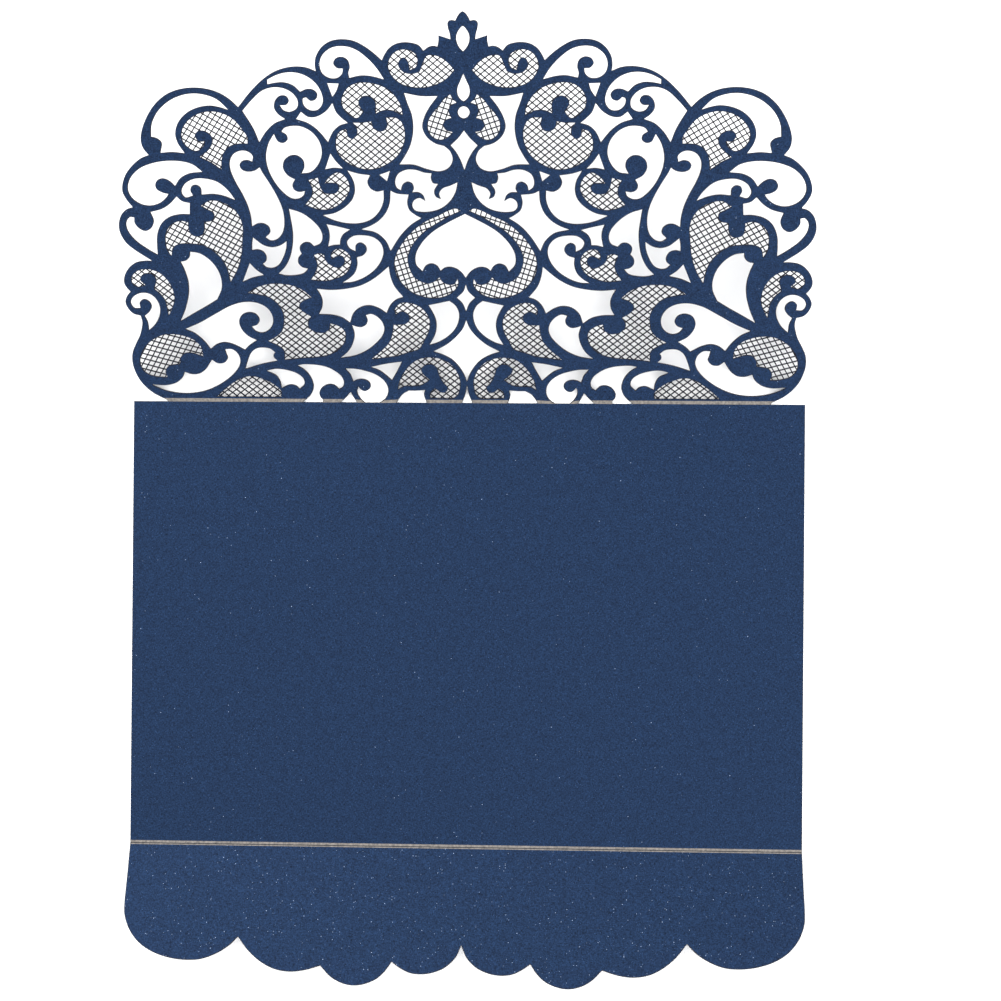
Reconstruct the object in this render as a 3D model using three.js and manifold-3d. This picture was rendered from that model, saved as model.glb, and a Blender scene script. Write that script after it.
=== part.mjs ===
// A laser-cut wedding invitation card: one sheet of pearlescent card with a plain centre panel, a tall lace flap
// at the top and a short scalloped flap at the bottom, lying open on its panel with both flaps standing up a little
// at their scored creases.
import * as THREE from "three";
import { mergeVertices } from "three/addons/utils/BufferGeometryUtils.js";
import Module from "manifold-3d";

const wasm = await Module();
wasm.setup();

// Driving dimensions, in millimetres, with the folds in degrees
const PANEL_WIDTH = 185;
const PANEL_HEIGHT = 122.3;
const SHEET_THICKNESS = 0.3;
const LACE_HEIGHT = 103.9;
const LACE_FOLD = 20;
const SCALLOP_HEIGHT = 37.1;
const SCALLOP_FOLD = 18;
const SCORE_DEPTH = 0.1;
const LACE_SCORE_WIDTH = 0.85;
const SCALLOP_SCORE_WIDTH = 1.2;
const THREAD_WIDTH = 0.5;
const THREAD_PITCH = 9;
const SMALLEST_GAP_AREA = 7;
const CHORD_ERROR = 0.24;

// The sizes that the outlines below are drawn for, with the way the cutters run past the sheet
const DRAWN_PANEL_WIDTH = 185;
const DRAWN_LACE_HEIGHT = 103.9;
const DRAWN_SCALLOP_HEIGHT = 37.1;
const SAMPLES_PER_STRETCH = 8;
const CUT_PAST = 1;

// The outlines of the right half. Each point is "across,up" in millimetres, across from the axis of symmetry and up
// from the crease, and a star marks a corner: the stretches between corners are smooth curves.

// The rim of the lace from the top of its axis, down the right side to the crease, and along the crease past the
// openings that meet it, back to the axis
const LACE_RIM = `
  0,103.9 0.8,103.4 1.4,102.6 1.9,101.6* 2.7,101.75 3.5,101.6 3.9,101 3.8,99.8 3.4,98.4 3.2,97*
  6.3,98* 6.3,96.6 6.6,95.2* 7.6,95.4 8.9,95.1 10.2,94.2* 11.3,95.5 12.9,96.1 15.2,96.3 17.3,95.9 19.1,94.8
  20.3,93.2 21,91.8* 23,93.6 25.5,95.4 28.2,96.7 31.2,97.1 34.2,96.6 36.6,95 38.1,92.6 38.4,90.4 38.2,89.1*
  40.5,90 43.3,90.3 46.4,89.9 49.6,88.7 52.8,86.5 55.9,83.5 58.9,80*
  61,82 63.8,83.7 67,84.7 70.7,85 74.4,84.5 77.9,83.1 81,80.5 83.2,77.4 84.8,73.8 85.2,71.3 84.7,69.3 83.4,67.6*
  85.6,66.7 88,64.8 89.9,62.5 91,59.8 91.1,57.8 90.2,55.8 88.7,53.8*
  90.3,53.3 91.9,51.8 92.8,49.2 92.6,46.8 91.2,44.2 88.9,42.2 86.5,40.6 84.6,39.4*
  86.6,39.4 89,38.9 91.1,37.3 92.4,35.1 92.6,33.2 91.9,31.8 91.1,30.9* 92.1,29.7 92.7,28.1 92.2,26.4 90.8,24.8
  88.8,24.2* 88.5,22.4 88.8,20.7 89.5,18.6 90.8,16.2 91.8,14 92.1,11.5 91.7,9.1 90.5,6.2 88.6,3.8 86.3,2
  83.4,0.5* 83,0* 45.4,0* 44.3,0.9 43.2,2 42.5,3.3 42.2,4.8 42.4,6 42.9,7.3 43.8,8.6 45,9.7 46.3,10.4*
  45,10.7 42.5,10.7 40,10.4 37.9,9.8 36.1,8.8 34.6,7.5 33.9,5.9 34.2,4.6 35.2,3.9* 36.4,5 37.7,5.3 39.3,4.8
  40.4,3.7 40.8,2.5 40.5,1.4 39.9,0.7 39.9,0* 34.9,0* 33.5,1.3 32.1,2.9* 31.5,1.7 30.5,0* 28.2,0*
  29.3,1.1 30.1,2.5 30.2,3.5 29.9,4.4* 29.2,3.6 28.2,3.2 27.2,3.6 26.5,4.5 26.6,5.6 27.4,6.4 28.8,6.8 30.2,6.6
  31.2,6.1* 31.5,6.9 31.9,8 33.2,9.6* 30.5,9.5 28,9 25.8,8.3 23.9,7.2 22.5,5.8 21.8,4.2 21.9,2.5 22.7,1.1
  24.2,0* 19.4,0* 18.6,1.3 17.6,2.5 16,3.4* 13.8,3.4 11.6,3.6* 11.9,2.2 11.2,0* 1.4,0* 0.4,2.7 0,5*`;

// Openings on the axis, each from its top to its bottom down the right side
const AXIS_OPENINGS = [
  "0,100.2 0.9,99.4 1.6,98 1.6,96.6 1,95.1 0,94*",
  "0,88.3* 0.8,86.5 1.5,84.9 1.5,83.2 0.8,82 0,81.5",
  "0,80.1 1.05,79.65 1.5,78.6 1.05,77.55 0,77.1",
  "0,73.9* 1.4,72.1 3.5,70.1* 2.1,68.4 0.9,66.2 0,63.8*",
  `0,52.1* 4.2,50 8.4,47.5 11.4,44.6 13.2,41.4 13.2,38.6 11.6,36.75* 10.7,38.3 9.1,38.9 7.6,38.3 6.7,36.9*
   5.7,37.7 4.2,38 2.4,37.5 1,36.4 0,35*`,
  "0,33* 0.6,31.3 2.4,29.5* 0.9,28 0,25.9*",
  "0,23.3* 0.8,21.2 2.4,19.1 5.1,16.7 8.9,14.6* 6.3,13.7 3.7,12.2 1.7,9.9 0.5,7.7 0,6.2*",
];

// Plain openings, from the crease upwards
const OPENINGS = [
  "17.8,11.6* 22,11 26.1,10.1* 24,9.3 22.1,7.9 20.6,6.5* 19.5,8.4",
  "54.9,8.9* 52.5,9.4 49.5,9.1 46.8,8.2 45.1,6.8 44.8,5.3 46.1,3.9* 47.1,4.8 48.8,5.1 51.1,4.1* 51.3,5.7 52.3,7.6",
  "52,11.8* 52.9,12.7 52.9,13.6 52.5,14.1* 53.8,15.1 55.6,15.4 57.4,15.2 58.9,14.1 59.8,12.4 60.8,9.5* 56,11",
  `87,4.8* 83,4.6 80.2,5.4 78.4,6.9 77.7,8.4* 75.8,7.8 73.6,8 71.8,9.3 70,11.9* 68.4,10.9 66.6,11.1 65.5,12.5
   65.8,13.7 66.1,14.9* 64.3,14.9 62.8,13.7 62.2,11.9 62.7,10 64.6,7.7 67.8,5.3 71.5,3.5 75.3,2.6 79.2,2.5 83.2,3.2`,
  `27.2,24.6* 25.7,24.9 24.1,24.1 22.8,22.6 22.35,20.8 22.9,19 24.6,17 27.1,15 30.3,13.5 34.4,12.7* 32.4,14.4
   31,16.7 30.4,19.4 31,21.8* 29.9,21.4 28.5,21.25 27.2,22 26.75,23.2`,
  `4.5,28.6* 7.2,28 10.1,27.4* 9.2,25.9 8.3,23.9 8,21.8 8.5,19.2 10,16.5* 7.6,17.3 5,18.9 3.1,20.9 2.1,23.2
   2,25.4 2.9,27.3`,
  `20.7,37.9* 20.3,35.3 19.3,32.6 17,29.7* 18.9,29 20.5,27.5 21.6,25.3* 23.5,26.6 26,27.4 28.6,26.9 30.6,25.2
   31.6,22.6* 33.8,24.1 36.6,24.8 39.9,24.9* 39,26.7 38.8,28.6 39.3,30.3 40.2,31.8* 36.5,31.5 32.5,31.8 28.5,32.7
   24.8,34.6`,
  `58.4,21.3* 57.4,20.2 55.7,19.75 54,20.4 52.8,22 52.7,24.2 54,26.4 56.5,27.8 60,28.1 63.6,27.2 68,24.9
   72.5,22.4 76.6,20.6* 74.2,19.5 71.7,17.3 70.1,15.1* 68.4,16.4 66.2,17 63.6,16.4 60.7,14.9* 59.4,16.2
   57.4,17.5* 59.8,18.8 61.4,20.7 61.9,22.8 60.9,24.7 58.9,25.4 57,24.8 56.2,23.2 56.9,21.9`,
  `74,41.8* 71.6,41.4 69.1,39.8 67.1,37.3 66.1,34.4 66.2,31.7 67.5,28.9* 70.8,26.9 74.2,25 77.8,22.9* 76.2,26.4
   75.1,30.4 75,33.7 75.8,37 76.7,39.1* 75.2,39.5 74.2,40.6`,
  `86.7,20.3* 84.9,22 83.6,24.4 83.4,26.9 84.5,29.2 86.4,30.4 88.6,30.4 90.5,29.3 91.1,27.9 90.3,26.5 88.7,26.4*
   88.8,27.9 87.5,28.9 86,28.2 85.5,26.8 86.3,25.3 87.6,24.2* 86.9,22.6`,
  `22,41.8 22.5,44 24.3,45.7 27.2,46.35 30,46.1 31.6,44.6 31,43 29.5,42.15* 29.3,43.8 28.1,44.5 26.7,43.7
   26.4,42.3 27.4,41 29.1,40.4* 29,38.6 29.7,36.4 31.2,34.8 33.1,33.6* 30.6,33.8 27.6,34.9 24.7,36.9 22.8,39.3`,
  "36.9,49.3* 34,48.7 30.8,47.9* 32.6,46.7 33.4,45.3 33.6,43.9* 35.2,43.8 36.7,43.4* 36.2,45.8 36.3,47.7",
  `46.8,53.4* 43.5,52.3 40.6,50.2 38.7,47.9 38.2,45.9 38.8,44.3 40.5,43.5* 41.7,44.5 43.1,44.5 44.3,43.5
   44.4,42.4 44,41.4* 44.9,40.3 45,38.9 44.1,37.8 42.5,37.3* 43.6,36.2 46.2,35.6 48.6,35.6 50.3,36* 48.4,38
   47.1,40.4 46.3,43.4 46,47 46.4,50.7`,
  `54.1,64.3* 55.4,63.5 57.3,63.2 58.9,63.8 59.4,65 58.7,66 57.3,66.35 56,65.9* 55.8,67.3 56.9,68.4 58.7,68.7
   60.7,67.9 61.8,66.1 61.8,63.8 60.7,60.7 58.9,57.2 57.6,53.9 57,51 56.9,48.8* 55.3,49.6 53.8,49.6 52.4,48.7
   52.1,47.2 53.4,45.8* 52.1,45 50.5,45.3 49,46.8 48.3,49.2 48.5,53 49.8,56.6 51.8,60.3 53.4,62.9`,
  `47.9,44.7* 49.6,43.6 51.8,43.1 54,43.6 55.6,44.7 56.8,45.7* 57.1,44.2 57.2,42.4* 55.7,42.6 54.2,42 53.4,40.6
   53.6,39.4 54.5,38.6* 53.6,37.8 52,37.6 50.3,38.4 48.9,40.6 48.1,42.9`,
  "54.5,35.6* 56.5,37 58.1,38.7* 60.2,33.8* 57.6,34.9",
  `82.9,41.1* 85.5,42.7 88.6,45.1 90.4,47.7 90.6,49.8 89.6,51.1 88.5,51* 88.5,49.6 87.4,48.1 85.7,47.4 84,48.3
   83.2,50.2 83.9,52.5* 80.9,53.3 78.6,54.7 76.7,56.6* 75.3,55.4 73.3,54.9* 73.5,52* 76,52 79.1,51.2 81.3,49.4
   82.6,46.6 82.9,43.5`,
  `69.4,63.2* 71.9,65.1 75,65.9 78.6,66 82.5,65.4 86.2,63.9 88.7,61.4 89.5,58.7 88.7,56.5 86.5,54.8 83.9,54.3
   81.3,55 79.4,56.5 78.9,57.3* 80.5,57.7 81.9,58.6 82.2,59.8 81.4,61.1 79.9,61.5 78.2,60.8 76.9,59.5* 75.4,61.5
   72.9,62.8`,
  `61.1,55.8* 62.8,58.2 65.4,60.4 68.4,61.3 71.6,61.3 74.2,60 75.2,57.9 74.3,56.5 72.3,56.9* 72.9,58.3 72.4,59.5
   71.1,59.8 70,58.9 69.9,57.2* 66.8,57.4 64,56.9`,
  `11.7,51* 14.5,49.2 17.4,46.2 20,42.3* 21.2,44.9 23.7,47.1 27.6,48* 25.2,48.9 22.9,50.3 21,52.4 19.9,55
   19.6,58.2* 18,57.5 14.9,57.2* 15.3,55.2 14.8,53.2 13.3,51.9`,
  "19.7,63.4* 22.4,62.4* 20.5,60.8*",
  `61.6,79.3* 64.4,81.9 67.6,83.1 70.8,83.4 74.1,82.8 77.3,81.3 80.2,78.7 81.9,75.6 82.3,72.4* 80.8,72 79.6,70.8
   80.1,68.2* 77,68.4 73.8,68.1* 75.4,70.6 75.95,73.1 75,76 72.6,78.5 69.6,79.9 66.3,80.4 63.8,80`,
  `25,62.3* 28,62.7 30.8,63.5* 29.4,61 29,58.6 29.6,56.3 31.3,54.3 34.4,52.4 37.7,51.7* 34.7,50.4 31.3,49.65
   27.9,49.7 25,50.7 22.8,52.8 21.6,55.6 21.5,58.3* 23.4,58 25.1,59 25.7,60.6`,
  `1.9,60.4* 4,59.5 5.7,58.9 6.7,57.6 6.3,56* 7.7,56.7 8.1,58.2 7.1,60* 8.4,60.3 8.9,61.6 8.7,62.8* 10.6,63
   12.9,63.7 15.4,63.7 17.6,62.5 18.3,60.5 17.9,59.1 16.9,58.4* 16.4,59.9 15.1,60.7 13.8,60.2 13.4,58.9 13.8,57.9*
   12.2,57.9 11,57.1 10.4,55.5* 12,56.3 13.5,55.6 13.9,54.2 13.2,53.1 11.4,52.7 8.6,52.9 6.1,53.8 3.9,55.6 2.5,57.9`,
  "35.2,67.9* 36.7,63.9* 34.5,64.3 32.1,64.1* 33.9,66",
  `44.8,75.1 47,74.6 47.8,73.7* 46.5,72.8 46.3,71.6 47.5,70.7 48.9,71.1 49.9,73* 51.4,70.5 52.2,67.2 51.8,64
   50.4,60.8 48.3,58 46,56.3 44.2,56.2 42.8,57 42.4,58.1* 44,57.9 45.3,58.6 45.6,59.8 44.9,61.2* 46.8,62.3
   47.9,64.2 47.5,66.2 45.8,67.5 43.9,67.5 42.4,66.2 42.2,64.4 43,62.8* 40.6,63.2 38.6,65.1 37.5,68 38,71
   40,73.6 42.5,74.9`,
  `43.8,76.9* 40.8,75.9 38.2,74 35.7,71* 34.3,73.7 32.6,75.2 30.4,75.9* 32,77.2 33.3,78.6 34.2,80.9* 35.8,79
   38.4,77.5 40.6,77.4 42.5,78.7*`,
  `46.8,76.9* 49.6,75.8 52,73.6 53.8,71* 55.2,74.6 57.8,79* 55.4,81.6 52.6,84 50,84.9 47.2,84.8 44.8,83.7
   43.3,81.7 43.5,79.8 45.3,78.8 47,79.2 47.9,80.4* 46.3,80.5 45.5,81.6 46.2,82.8 47.8,82.9 49.2,81.6 49.5,79.7
   48.6,78.2`,
  `50.9,85.8* 50.9,86.9* 48.7,88 46,88.7 43,88.6 40.2,87.5 38,85.5 36.8,83 36.8,80.9 38.1,79.3 40.1,79.2 41.6,80.4
   41.8,82.1 41,82.4* 39.8,81.5 38.4,82 38,83.3 39,84.4 40.7,84.6 42.5,83.9* 44.2,85.5 46.6,86.3 48.9,86.2`,
  "32.4,85.9* 35.3,86* 34.1,82.6* 33,84.2",
  `20.6,87* 22.5,89.9 25.2,92.7 28,94.6 31,95.3 33.9,94.9 36.3,93.1 37.1,90.9 36.5,88.6 34.7,87.4 32.7,87.4
   31.4,88.5 31.2,89.7* 32.6,89.8 33.6,91 32.9,92.3 31.3,92.7 29.8,91.9 29.3,90.1 29.7,88.6 29.5,87.4* 26.5,88
   23.7,87.8`,
  `6.8,82.7* 11,82.7 15.4,83.5* 14.6,81 13.5,77.9 13.2,74.3 14,70.3 15.5,67.4 17,65.2* 13.2,65.1 9.9,64 6.6,63.4
   4.2,64.3 3.1,66.3 3.7,68.5 5.2,69.9* 7.6,70.6 9.8,72.3 10.9,74.8 10.3,77.5 8.9,80`,
];

// Openings filled with a lattice of crossed threads, each with the two directions of its threads in degrees
const LATTICES = [
  {
    directions: [38, -38],
    rim: `2.1,3.9 1.9,6 2.9,9 4.9,11.3 7.5,12.5 10.4,12.8 13.3,12.2 15.7,10.4 17.5,8 18.5,5.8 18.9,3.9* 17.4,4.8
      14.5,4.9 12.5,5.2 10.3,6.6* 12,8.1 12.6,9.5 11.2,10.9 9.4,11 8.1,9.9 7.4,7.6 6.2,5.6 5.2,4.4 5.9,3 7.2,2.9
      8.7,4.1* 10,2.9 10.1,1.5* 6.5,1.4 3.7,1.5 2.5,2.6`,
  },
  { directions: [38, -38], rim: "51.5,1.5* 51.4,3.1 53.2,4.9 56,6.4 59.4,7.3 62.3,6.6 65.5,4.6 69.1,1.5*" },
  {
    directions: [15, -60],
    rim: `72.4,13* 72.8,15.4 74.3,17.2 76.8,18.4 79.8,19 83,18.8 86,17.4 88.4,15.1 89.7,12.3 89.6,10 88.2,8.1
      85.5,7.2 82.7,7* 83.1,8.5 82.2,10.1 80.6,10.6 78.9,10.8* 78.6,12.6 77.4,13.8 75.6,14 73.8,13.5`,
  },
  {
    directions: [38, -38],
    rim: `15.5,28 17.8,27.8 19.2,26.2 19,25* 17.4,25.8 15.7,25 15.2,23.6 16.4,22.2 18.2,21.9 19.7,21.9* 20,19.6
      21,17 22.9,14.9 25.9,12.4* 22.4,12.9 19,13.4 15.9,14.4 13,15.4 11.4,18 10.2,20.6 10,23.2 11.3,25.8 13.3,27.3`,
  },
  {
    directions: [38, -38],
    rim: `33,19.2 33.5,16.9 35.2,14.9 38,13.5 41.5,12.9 46,12.6 49.8,12.1* 49.9,14.7 51.6,16.2 54.1,17.3* 52,18.4
      50.2,20.1 49.5,22.6 49.6,25.2 51,27.7 53.2,29.5 56,30.3 58.9,30.7* 56.5,32.1 53.3,33 50,33.1 46.8,32.6
      44,31.3 41.9,29.5* 44.2,28.6 45.3,27.2 44.6,25.7 42.2,24.1* 43.2,22.3 42.6,20.7 40.8,19.7 38.8,19.6
      37.3,20.6 36.9,22.2* 34.8,21.5 33.4,20.4`,
  },
  {
    directions: [38, -38],
    rim: `81,24.5* 79.8,26.9 79.2,29.2 79.6,31.7 80.9,34.2 83,36.1 85.8,37 88.5,36.6 90.2,35.1 90.3,33.4 88.9,32.3
      86.9,32.8* 88.1,33.9 87.9,35.1 86.6,36 84.7,35.8 83.7,34.4 84.4,31.7* 82.7,30.2 81.6,28.4 81.2,26.4`,
  },
  {
    directions: [38, -38],
    rim: `30.8,39.6 31.3,37.5 32.9,35.7 35.2,34.7 38,34.1 41.6,34.4* 40.3,36.4 39.7,38.5 40.6,41* 39.2,41.4 38,41*
      37.5,39.3 35.9,38 34.2,37.5 32.8,38.3 32.3,39.6 33,40.8 34.3,40.9 35.9,40.1* 35.9,41.3 34.6,42.6 32.9,42.4
      31.4,41.3`,
  },
  {
    directions: [28, -55],
    rim: `63.5,33.8* 61.6,37.1 60.3,41 59.8,45 59.5,48.5 60.3,51.4 62.3,53.8 65,55.2 67.8,55.5 70.2,54.2* 68.6,53.3
      67,52.4 66.9,51.1 67.8,50.1 69.6,49.8* 69.6,48.1 70.3,46.4 72,45.9 73.6,46.6 74.1,48.2 74.1,49.7* 76,50.1
      78.4,49.2 80,47.2 80.4,44.7 80.1,42.5 79.2,40.8* 78.6,43 76.8,44 73.6,44.1 70.4,43.7 67.6,42.1 65.2,39.5
      64.1,37`,
  },
  {
    directions: [73, -18],
    rim: `1.2,53* 2.4,53.5 4.5,52.9 7.2,51.5 10,50.3 12.7,48.5 15.2,46.2 17.2,43.6 18.6,40.9 19,38.2 18.4,35.5
      16.9,33.2 14.7,31.2 12,30 8.8,29.5 5.8,29.9 3.3,31.4 2.1,33.2 2.2,34.5* 3.1,33.2 4.6,33 6.2,33.7 7.1,35*
      8.2,34 9.9,33.3 12.2,33.9 14,35.2 15.1,37.4 15.6,40 15,42.4 13.2,45.2 10.5,47.8 7.2,49.9 3.9,51.8`,
  },
  {
    directions: [38, -38],
    rim: `33.4,63 35.5,61.9 36.9,60.3* 35.2,60.4 33.6,60.1 33.1,58.9 34.1,57.6 35.7,57.3 37.2,57.6 38.3,59.2
      38.8,61.6* 41.2,61* 40.3,59 40.4,57 42.2,54.6* 39.8,53.6 36.8,53.3 34,54.3 31.8,56.2 30.6,58.4 30.7,60.3
      31.7,62`,
  },
  {
    directions: [39, -39],
    rim: `16.3,76.1* 17.7,77.1 20.2,77.2* 19.9,75.3 20.8,73.9 22.4,73.7 23.8,74.6 24.2,76.2* 26.4,75.9 28.9,75.9*
      27.9,74.4 28,72.8 29.2,71.7 30.5,72.4 30.8,74.3* 32.6,73.5 33.5,71.3 33.4,68.9 32,66.7 29.5,65 26.3,64
      23,64.2 19.6,65.8 17.1,68.1 15.7,71.3 15.6,74.1`,
  },
  {
    directions: [30, -55],
    rim: `57,70.6* 57,72.2 58.3,74.3 60.2,76.6 62.7,78.1 66,78.8 69.4,78.2 72.2,76.5 73.9,74.2 74.2,72 73,69.9
      70.7,68.7 69,69.6 68.1,71.1* 69.8,71.1 70.8,72.6 69.9,73.8 68.2,73.9 66.5,72.8 66.1,71 67.3,68.9 69.7,67.1*
      67,65.8 64.3,63.9* 64.1,66.3 63.2,68.6 61.4,70.1 59.2,70.6`,
  },
  {
    directions: [18, -70],
    rim: `3.5,83.1* 5.1,81.8 6.5,80 8.1,78.2 9.2,76.3 9.3,74.3 8.2,72.4 6.2,71.6 4.4,72.2 3,73.5* 4.7,74 5.5,75.5
      4.7,76.7 3.3,77.2* 4,78.9 3.4,80.4 1.9,81.1* 2.9,82`,
  },
  {
    directions: [39, -39],
    rim: `16,77.9* 16.3,79.9 17.4,82 19.2,84.1 21.8,85.4 25,86.1 28,85.9 30.3,84.5 31.6,82.2 31.4,80 29.9,78.1
      27.9,77.2 26.2,78.9* 27.3,80.3 27.3,81.7 26,82.8 24.4,82.7 22.9,81.3 22.8,79.9 22.9,78.4* 20.9,79.2
      18.4,79.1`,
  },
  {
    directions: [39, -39],
    rim: `2.4,89.3* 4.6,91.6 7.2,92.9 9.3,92.8 10.2,91.3 11.2,88.9* 13,88.3 15.4,88.7 16.8,90.4 16.4,91.9 15.3,92.5
      14.3,91.7 13.7,89.4* 12.4,90 11.8,91.4 12.2,93.1 13.6,94.1 15.6,94.4 17.6,93.7 19,91.9 19.3,90 18.3,87.8
      16.2,86 13.4,85.1 10.2,85 7,85.8 4.4,87.2`,
  },
];

// The free edge of the scalloped flap, from its axis to the right-hand end of its crease
const SCALLOP_RIM = `
  0,26.2* 1.4,29.3 4.2,32 7.4,33.4 10.5,33.9 13.7,33.6 16.4,32.4 18.7,30.8* 20.3,33.1 22.5,35.2 25.6,36.6 28.7,37.1
  31.8,36.6 35,35 38,32.1* 42,33.3 46.2,33.8 50.4,33.2 54.2,31.4 57.8,28.5 60.8,24.9* 63.2,27.3 66.7,29.5
  70.6,30.9 74.6,31.2 79.2,30.7 84,29.2 87.9,26.8 90.8,23.4 92.4,19.6 92.7,17 92.6,10 92.5,0*`;

// Reads an outline into points with their corners marked, scaled to the real flap.
function readOutline(text, acrossScale, upScale) {
  return text
    .trim()
    .split(/\s+/)
    .map((word) => {
      const [across, up] = word.replace("*", "").split(",").map(Number);
      return { x: across * acrossScale, y: up * upScale, corner: word.endsWith("*") };
    });
}

function mirrored(points) {
  return points.map((p) => ({ ...p, x: -p.x })).reverse();
}

// Closes a half outline that starts and ends on the axis, or that runs along the crease, with its mirror image.
function withMirrorImage(half) {
  const onAxis = (p) => p.x === 0;
  return [...half, ...mirrored(half).filter((p) => !onAxis(p))];
}

// Drops the points of an open line that lie within the chord error of the rest.
function thinned(points) {
  const first = points[0];
  const last = points.at(-1);
  const chord = new THREE.Line3(first, last);
  const nearest = new THREE.Vector3();
  const distances = points.map((p) => chord.closestPointToPoint(p, true, nearest).distanceTo(p));
  const farthest = distances.indexOf(Math.max(...distances));
  if (distances[farthest] <= CHORD_ERROR) return [first, last];
  return [...thinned(points.slice(0, farthest + 1)), ...thinned(points.slice(farthest)).slice(1)];
}

// The closed line through an outline's points, smooth between its corners, as few points as the chord error allows.
function smoothLine(points) {
  const firstCorner = Math.max(0, points.findIndex((p) => p.corner));
  const turned = [...points.slice(firstCorner), ...points.slice(0, firstCorner + 1)];
  const at = turned.map((p) => new THREE.Vector3(p.x, p.y, 0));
  const stops = turned.flatMap((p, i) => (p.corner || i === 0 || i === turned.length - 1 ? [i] : []));
  if (stops.length === 2 && !points[firstCorner].corner) {
    const round = new THREE.CatmullRomCurve3(at.slice(0, -1), true, "centripetal");
    const samples = round.getPoints(SAMPLES_PER_STRETCH * (at.length - 1));
    const half = samples.length >> 1;
    return [...thinned(samples.slice(0, half + 1)), ...thinned(samples.slice(half)).slice(1)].slice(0, -1);
  }
  const line = [];
  for (let i = 1; i < stops.length; i++) {
    const stretch = at.slice(stops[i - 1], stops[i] + 1);
    const curve = new THREE.CatmullRomCurve3(stretch, false, "centripetal");
    const samples = stretch.length > 2 ? curve.getPoints(SAMPLES_PER_STRETCH * (stretch.length - 1)) : stretch;
    line.push(...thinned(samples).slice(0, -1));
  }
  return line;
}

function solidOf(geometry) {
  geometry.deleteAttribute("normal");
  geometry.deleteAttribute("uv");
  const merged = mergeVertices(geometry);
  return new wasm.Manifold(
    new wasm.Mesh({
      numProp: 3,
      vertProperties: merged.attributes.position.array,
      triVerts: new Uint32Array(merged.index.array),
    }),
  );
}

function geometryOf(solid) {
  const { vertProperties, triVerts } = solid.getMesh();
  return new THREE.BufferGeometry()
    .setAttribute("position", new THREE.BufferAttribute(vertProperties, 3))
    .setIndex(new THREE.BufferAttribute(triVerts, 1));
}

// A flat sheet of one outline with its plain openings, its underside at height zero. The rim runs anticlockwise, so
// that the openings are turned to suit it.
function flatSheet(rim, openings, thickness = SHEET_THICKNESS) {
  const shape = new THREE.Shape(THREE.ShapeUtils.isClockWise(rim) ? rim.toReversed() : rim);
  shape.holes = openings.map((line) => new THREE.Path(line));
  return new THREE.ExtrudeGeometry(shape, { depth: thickness, bevelEnabled: false });
}

// What is cut away inside a lattice's rim: all but the threads, and no gap too small to cut
function latticeGaps(rim, directions) {
  const prism = flatSheet(rim, [], SHEET_THICKNESS + 2 * CUT_PAST).translate(0, 0, -CUT_PAST);
  prism.computeBoundingSphere();
  const { center, radius } = prism.boundingSphere;
  const length = 2 * radius + CUT_PAST;
  const height = SHEET_THICKNESS + 4 * CUT_PAST;
  const threadsEachSide = Math.floor(radius / THREAD_PITCH);
  let gaps = solidOf(prism);
  for (const direction of directions) {
    for (let i = -threadsEachSide; i <= threadsEachSide; i++) {
      const thread = new THREE.BoxGeometry(length, THREAD_WIDTH, height)
        .translate(0, i * THREAD_PITCH, 0)
        .rotateZ(THREE.MathUtils.degToRad(direction))
        .translate(center.x, center.y, center.z);
      gaps = gaps.subtract(solidOf(thread));
    }
  }
  const smallest = SMALLEST_GAP_AREA * (SHEET_THICKNESS + 2 * CUT_PAST);
  return gaps.decompose().filter((gap) => gap.volume() > smallest);
}

// The long cutter of a score line: a shallow groove across the sheet between two distances from the crease, on the
// panel where they are negative and on the flap where they are positive
function scoreGroove(from, to, fold) {
  const onTopFace = (distance, depth) => {
    const height = SHEET_THICKNESS - depth;
    if (distance <= 0) return new THREE.Vector2(distance, height);
    return new THREE.Vector2(distance, height).rotateAround(new THREE.Vector2(), fold);
  };
  const openAbove = new THREE.Vector2(0, SHEET_THICKNESS + CUT_PAST);
  const section = [onTopFace(from, 0), onTopFace((from + to) / 2, SCORE_DEPTH), onTopFace(to, 0), openAbove];
  return new THREE.ExtrudeGeometry(new THREE.Shape(section), {
    depth: PANEL_WIDTH + 2 * CUT_PAST,
    bevelEnabled: false,
  })
    .translate(0, 0, -PANEL_WIDTH / 2 - CUT_PAST)
    .applyMatrix4(new THREE.Matrix4().set(0, 0, 1, 0, 1, 0, 0, 0, 0, 1, 0, 0, 0, 0, 0, 1));
}

function laceFlap() {
  const acrossScale = PANEL_WIDTH / DRAWN_PANEL_WIDTH;
  const upScale = LACE_HEIGHT / DRAWN_LACE_HEIGHT;
  const read = (text) => readOutline(text, acrossScale, upScale);
  const rim = smoothLine(withMirrorImage(read(LACE_RIM)));
  const openings = [
    ...AXIS_OPENINGS.map((text) => withMirrorImage(read(text))),
    ...OPENINGS.flatMap((text) => [read(text), mirrored(read(text))]),
  ].map(smoothLine);
  let flap = solidOf(flatSheet(rim, openings));
  for (const { rim: text, directions } of LATTICES) {
    const right = smoothLine(read(text));
    const left = smoothLine(mirrored(read(text)));
    const turnedOver = directions.map((direction) => -direction);
    for (const gap of [...latticeGaps(right, directions), ...latticeGaps(left, turnedOver)]) {
      flap = flap.subtract(gap);
    }
  }
  return geometryOf(flap);
}

function scallopedFlap() {
  const acrossScale = PANEL_WIDTH / DRAWN_PANEL_WIDTH;
  const upScale = SCALLOP_HEIGHT / DRAWN_SCALLOP_HEIGHT;
  const half = readOutline(SCALLOP_RIM, acrossScale, upScale);
  return flatSheet(smoothLine(withMirrorImage(half)), []).rotateX(Math.PI).translate(0, 0, SHEET_THICKNESS);
}

function panel() {
  return new THREE.BoxGeometry(PANEL_WIDTH, PANEL_HEIGHT, SHEET_THICKNESS).translate(0, 0, SHEET_THICKNESS / 2);
}

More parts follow.
